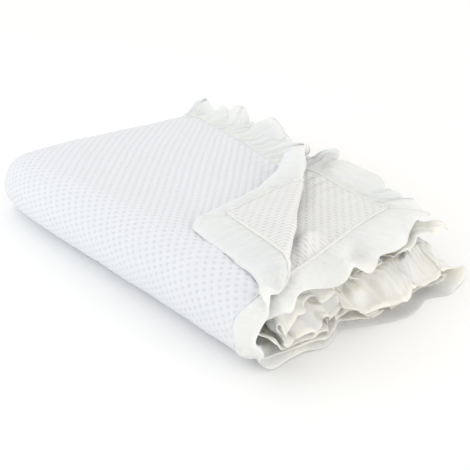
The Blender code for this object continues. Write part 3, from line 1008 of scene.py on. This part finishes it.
def ruffle(edge, grid, floor, spots):
    """Gather a flat frill: small folds at the seam that join into curling waves at the hem."""
    look = FRILLS[edge]
    middle = grid[:, len(FRILL_CROSS) // 2]
    steps, along = along_seam(middle)
    width = np.array(FRILL_CROSS)[None, :]
    looks = [{**USUAL_RUFFLE, **RUFFLES[edge][spot]} for spot in spots]
    lengths, share, puff, reach, rise, above, below = (
        eased([spot_look[name] for spot_look in looks], along)[:, None]
        for name in ("wave", "share", "puff", "reach", "rise", "above", "below")
    )
    turns = np.concatenate(([0.0], np.cumsum(steps / lengths[1:, 0])))
    turns = turns + WAVE_SWAY * noise_row(along, WAVE_SWAY_SIZE, look["row"])
    phase = 2 * pi * turns[:, None]
    calm = np.array([smooth(place_along / CORNER_CALM) for place_along in along])
    calm *= calm[::-1]
    uneven = noise_row(along, STRENGTH["size"], look["row"] + STRENGTH["row"])
    strength = STRENGTH["usual"] + STRENGTH["spread"] * uneven
    strength = np.clip(strength, STRENGTH["least"], STRENGTH["most"]) * calm
    strength = strength[:, None] * share
    root = 1.0 - np.exp(-width / ROOT_REACH)
    lift = look["height"] * hem_waves(phase, width, puff) * strength * root
    lift += seam_folds(phase, width) * mix(FLAT_SHARE, 1.0, np.minimum(share, 1.0)) * root
    lift += rise * width ** RISE_GROWTH * calm[:, None]
    lift = np.where(lift > 0.0, above * np.tanh(lift / above), below * np.tanh(lift / below))
    belly = FLOOR_BELLY * np.sin(pi * width ** BELLY_ROUNDNESS) * calm[:, None]
    pressed = -FLOOR_PRESS * look["height"] * strength * width - FLOOR_PRESS * np.abs(lift) - belly
    lift = mix(lift, pressed, floor[:, None])
    seam_way = np.gradient(middle, axis=0)
    seam_way /= np.linalg.norm(seam_way, axis=1)[:, None]
    curl = look["curl"] * width * strength * np.sin(2 * phase)
    if edge == "left":
        reach = reach + CREST_REACH * np.exp(-((grid[:, -1, :1] - CREST_X) / CREST_HALF_WIDTH) ** 2)
    scallop = reach * width - SCALLOP * width * strength * (0.5 - 0.5 * np.cos(phase + HEM_LEAN))
    ruffled = grid + seam_way[:, None, :] * curl[:, :, None]
    ruffled += outward(grid)[:, None, :] * scallop[:, :, None]
    ruffled[:, :, 2] += lift
    return ruffled, along


def sheet_normals(points):
    """Upward normals of a grid of points."""
    along = np.gradient(points, axis=0)
    across = np.gradient(points, axis=1)
    normals = np.cross(across, along)
    normals /= np.linalg.norm(normals, axis=2)[:, :, None]
    if normals[:, :, 2].mean() < 0.0:
        normals = -normals
    return normals


def make_frill(edge, materials):
    """One gathered frill with its turned hem."""
    grid, floor, spots = frill_base(edge)
    points, along = ruffle(edge, grid, floor, spots)
    normals = sheet_normals(points)
    reach = np.linalg.norm(grid[:, -1] - grid[:, 0], axis=1)
    mesh = bmesh.new()
    weave_u, weave_v = weave_layers(mesh)
    sides = {1.0: [], -1.0: []}
    for side in sides:
        for i in range(len(points)):
            row = []
            for j, width in enumerate(FRILL_CROSS):
                body = HEM_BODY if width > HEM_SHARE else FRILL_BODY
                body = body * HEM_LIP if width == 1.0 else body
                vert = mesh.verts.new(points[i, j] + side * normals[i, j] * body / 2)
                vert[weave_u] = along[i]
                vert[weave_v] = width * reach[i]
                row.append(vert)
            sides[side].append(row)
    join_sides(mesh, sides[1.0], sides[-1.0])
    if edge in ("foot", "left"):
        cut_at_crease(mesh)
    return finish_cloth(mesh, edge + "_frill", materials), float(along[-1]), float(reach.mean())


def make_seam(edge, materials):
    """The seam allowance: a flat tube along the panel's edge, on its reverse side."""
    grid, _, _ = frill_base(edge)
    line = grid[::SEAM_EVERY, 0]
    out_way = outward(grid[::SEAM_EVERY])
    _, along = along_seam(line)
    mesh = bmesh.new()
    weave_u, weave_v = weave_layers(mesh)
    rings = []
    for i, centre in enumerate(line):
        spot = Vector((along[i] / SEAM_UNEVENNESS_SIZE, SEAM_ROW, FRILLS[edge]["row"]))
        swell = 1.0 + SEAM_UNEVENNESS * noise.noise(spot)
        ring = []
        for side in range(SEAM_SIDES):
            angle = 2 * pi * side / SEAM_SIDES
            out = SEAM_HALF_WIDTH * cos(angle)
            lift = -PANEL_EDGE / 2 - SEAM_DROP + SEAM_HALF_HEIGHT * swell * sin(angle)
            point = centre + out_way[i] * out
            vert = mesh.verts.new((point[0], point[1], lift))
            vert[weave_u] = along[i]
            vert[weave_v] = angle * SEAM_HALF_WIDTH / 2
            ring.append(vert)
        rings.append(ring)
    for ring, following in zip(rings, rings[1:]):
        for side in range(SEAM_SIDES):
            after = (side + 1) % SEAM_SIDES
            mesh.faces.new((ring[side], ring[after], following[after], following[side]))
    mesh.faces.new(rings[0])
    mesh.faces.new(rings[-1][::-1])
    if edge in ("foot", "left"):
        cut_at_crease(mesh)
    return finish_cloth(mesh, edge + "_seam", materials)


class Finish:
    """Short forms for adding a material's nodes."""

    def __init__(self, name):
        self.material = bpy.data.materials.new(name)
        self.material.use_nodes = True
        self.nodes = self.material.node_tree.nodes
        self.links = self.material.node_tree.links
        self.shader = self.nodes["Principled BSDF"]
        self.weave = self.add("ShaderNodeUVMap")
        self.weave.uv_map = "weave"

    def add(self, kind):
        return self.nodes.new(kind)

    def feed(self, value, socket):
        if isinstance(value, (int, float, tuple)):
            socket.default_value = value
        else:
            self.links.new(value, socket)

    def math(self, operation, first, second=0.0):
        node = self.add("ShaderNodeMath")
        node.operation = operation
        self.feed(first, node.inputs[0])
        self.feed(second, node.inputs[1])
        return node.outputs[0]

    def uv(self):
        node = self.add("ShaderNodeSeparateXYZ")
        self.links.new(self.weave.outputs[0], node.inputs[0])
        return node.outputs[0], node.outputs[1]

    def ramp(self, value, start, end):
        """0 up to the start and 1 from the end on."""
        node = self.add("ShaderNodeMapRange")
        self.feed(value, node.inputs["Value"])
        node.inputs["From Min"].default_value = start
        node.inputs["From Max"].default_value = end
        return node.outputs["Result"]

    def painted_bounce_share(self):
        """Share of the painted warm bounce light: 1 on the low layers' frills at the open end, where
        they lie in each other's shade, and 0 on the rest.
        """
        texture = self.add("ShaderNodeTexCoord")
        split = self.add("ShaderNodeSeparateXYZ")
        self.links.new(texture.outputs["Object"], split.inputs[0])
        share = self.ramp(split.outputs[2], *PAINTED_BOUNCE_Z)
        share = self.math("MULTIPLY", share, self.ramp(split.outputs[0], *PAINTED_BOUNCE_X))
        return self.math("MULTIPLY", share, self.ramp(split.outputs[1], *PAINTED_BOUNCE_Y))

    def wave(self, coordinate, length, function="COSINE"):
        turn = self.math("MULTIPLY", coordinate, 2 * pi / length)
        return self.math(function, turn)

    def cloud(self, vector, size, detail=2.0):
        node = self.add("ShaderNodeTexNoise")
        self.links.new(vector, node.inputs["Vector"])
        node.inputs["Scale"].default_value = 1.0 / size
        node.inputs["Detail"].default_value = detail
        return node.outputs["Fac"]

    def blend(self, first, second, share):
        node = self.add("ShaderNodeMix")
        node.data_type = "RGBA"
        self.feed(share, node.inputs["Factor"])
        self.feed(first, node.inputs["A"])
        self.feed(second, node.inputs["B"])
        return node.outputs["Result"]

    def bump(self, height):
        node = self.add("ShaderNodeBump")
        node.inputs["Distance"].default_value = 1.0
        node.inputs["Strength"].default_value = 1.0
        self.links.new(height, node.inputs["Height"])
        self.links.new(node.outputs[0], self.shader.inputs["Normal"])

    def cotton(self, tone, look):
        self.links.new(tone, self.shader.inputs["Base Color"])
        self.shader.inputs["Subsurface Weight"].default_value = look["glow"]
        self.shader.inputs["Subsurface Radius"].default_value = GLOW_RADIUS
        self.shader.inputs["Subsurface Scale"].default_value = GLOW_DEPTH
        self.shader.inputs["Roughness"].default_value = look["roughness"]
        self.shader.inputs["Specular IOR Level"].default_value = SPECULAR
        self.shader.inputs["Sheen Weight"].default_value = look["sheen"]
        self.shader.inputs["Sheen Roughness"].default_value = SHEEN_ROUGHNESS


def opaque(tone):
    return (*tone, 1.0)


def threads(finish, u, v, pitch):
    """Height of a plain weave, from 0 to 1."""
    warp = finish.wave(u, pitch, "SINE")
    weft = finish.wave(v, pitch, "SINE")
    return finish.math("MULTIPLY_ADD", finish.math("MULTIPLY", warp, weft), 0.5)


def dimpled_side(side):
    """The panel's cloth: staggered dimples, rows between them, and the yarn; the dimples and the rows
    between them are coloured darker as painted shade.
    """
    look = DIMPLED_SIDES[side]
    finish = Finish("dimpled_cotton_" + side)
    u, v = finish.uv()
    lattice = finish.math("MULTIPLY", finish.wave(u, DIMPLE_X), finish.wave(v, DIMPLE_Y))
    pit = finish.math("POWER", finish.math("MULTIPLY_ADD", lattice, 0.5), DOT_SHARPNESS)
    dots = finish.math("MULTIPLY", pit, look["dots"])
    rows = finish.wave(v, DIMPLE_Y / 2)
    groove = finish.math("MULTIPLY", finish.math("MULTIPLY_ADD", rows, 0.5), look["rows"])
    depth = finish.math("ADD", dots, groove)
    patchy = finish.cloud(finish.weave.outputs[0], DIMPLE_PATCH_SIZE)
    # Painted shade: the cloth is coloured darker in the dimples and in the grooves between rows, more
    # in some patches than in others
    painted_pit_shade = finish.math("MULTIPLY", depth, finish.math("ADD", patchy, DIMPLE_PATCH_LEAST))
    tone = finish.blend(opaque(look["cloth"]), opaque(look["shade"]), painted_pit_shade)
    finish.cotton(tone, DIMPLED_FINISH)
    yarn = finish.math("MULTIPLY", threads(finish, u, v, YARN_PITCH), YARN_HEIGHT)
    fuzz = finish.math("MULTIPLY", finish.cloud(finish.weave.outputs[0], FUZZ_SIZE), FUZZ_HEIGHT)
    relief = finish.math("ADD", yarn, fuzz)
    finish.bump(finish.math("SUBTRACT", relief, finish.math("MULTIPLY", depth, DIMPLE_BUMP)))
    return finish.material


def plain_cotton(name):
    """The frills' cloth: fine threads, faint gather lines, painted shade that darkens and warms it
    unevenly along the gather lines and toward the seam, and painted warm bounce light deep in the open
    end.
    """
    finish = Finish(name)
    u, v = finish.uv()
    stretched = finish.add("ShaderNodeMapping")
    stretched.inputs["Scale"].default_value = (1.0, GATHER_LINE_STRETCH, 1.0)
    finish.links.new(finish.weave.outputs[0], stretched.inputs["Vector"])
    gathers = finish.cloud(stretched.outputs[0], GATHER_LINE_SIZE, GATHER_LINE_DETAIL)
    patchy = finish.cloud(finish.weave.outputs[0], PLAIN_PATCH_SIZE)
    # Painted shade: the cloth turns darker and warmer toward the seam, and along the gather lines in
    # soft random patches
    from_hem = finish.math("SUBTRACT", 1.0, finish.math("DIVIDE", v, FRILL_WIDTH))
    root_painted_shade = finish.math("MULTIPLY", from_hem, ROOT_PAINTED_SHADE)
    tone = finish.math("ADD", finish.math("MULTIPLY", patchy, gathers), root_painted_shade)
    body = finish.blend(opaque(PLAIN_CLOTH), opaque(PLAIN_PAINTED_SHADE), tone)
    # Painted light: the frills deep in the open end take a warmer, lighter tone in place of the warm
    # light bounced between them
    body = finish.blend(body, opaque(PAINTED_BOUNCE_LIGHT), finish.painted_bounce_share())
    finish.cotton(body, PLAIN_FINISH)
    gather_height = finish.math("MULTIPLY", gathers, GATHER_LINE_HEIGHT)
    yarn = finish.math("MULTIPLY", threads(finish, u, v, THREAD_PITCH), THREAD_HEIGHT)
    finish.bump(finish.math("ADD", gather_height, yarn))
    return finish.material


def make_floor():
    bpy.ops.object.select_all(action="DESELECT")
    bpy.ops.mesh.primitive_plane_add(size=FLOOR_SIZE, location=(0.0, 0.0, 0.0))
    floor = bpy.context.object
    floor.name = "pale_floor"
    material = bpy.data.materials.new("pale_floor")
    material.use_nodes = True
    shader = material.node_tree.nodes["Principled BSDF"]
    shader.inputs["Base Color"].default_value = opaque(FLOOR_TONE)
    shader.inputs["Roughness"].default_value = 1.0
    shader.inputs["Specular IOR Level"].default_value = 0.0
    floor.data.materials.append(material)


def point_at(thing, place_of_thing, target):
    """Put a lamp or the camera in its place, turned toward a target."""
    thing.location = place_of_thing
    way = target - thing.location
    thing.rotation_euler = way.to_track_quat("-Z", "Y").to_euler()
    bpy.context.scene.collection.objects.link(thing)


def make_lamp(name, look):
    light = bpy.data.lights.new(name, "AREA")
    light.shape = "DISK"
    light.size = LAMP_SIZE
    light.energy = look["power"]
    light.color = look["tint"]
    point_at(bpy.data.objects.new(name, light), Vector(look["place"]), Vector(LAMP_AIM))


def make_camera():
    camera = bpy.data.objects.new("camera", bpy.data.cameras.new("camera"))
    camera.data.lens = CAMERA_LENS
    camera.data.sensor_width = CAMERA_SENSOR
    origin = Vector((ORIGIN_X, ORIGIN_Y, 0.0))
    point_at(camera, Vector(CAMERA_PLACE) - origin, Vector(CAMERA_AIM) - origin)
    bpy.context.scene.camera = camera


def make_studio():
    make_floor()
    world = bpy.data.worlds.new("studio")
    world.use_nodes = True
    background = world.node_tree.nodes["Background"]
    background.inputs["Color"].default_value = opaque(SKY_TONE)
    background.inputs["Strength"].default_value = SKY_STRENGTH
    bpy.context.scene.world = world
    for name, look in LAMPS.items():
        make_lamp(name, look)
    bpy.context.scene.view_settings.view_transform = "Standard"
    make_camera()


def main():
    dimpled_sides = [dimpled_side("outside"), dimpled_side("inside")]
    plain = plain_cotton("plain_cotton_frill")
    panel = make_panel(dimpled_sides)
    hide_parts("panel")
    for edge in FRILLS:
        frill, length, reach = make_frill(edge, [plain, plain])
        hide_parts("frill_" + edge)
        seam = make_seam(edge, [plain])
    make_studio()


main()
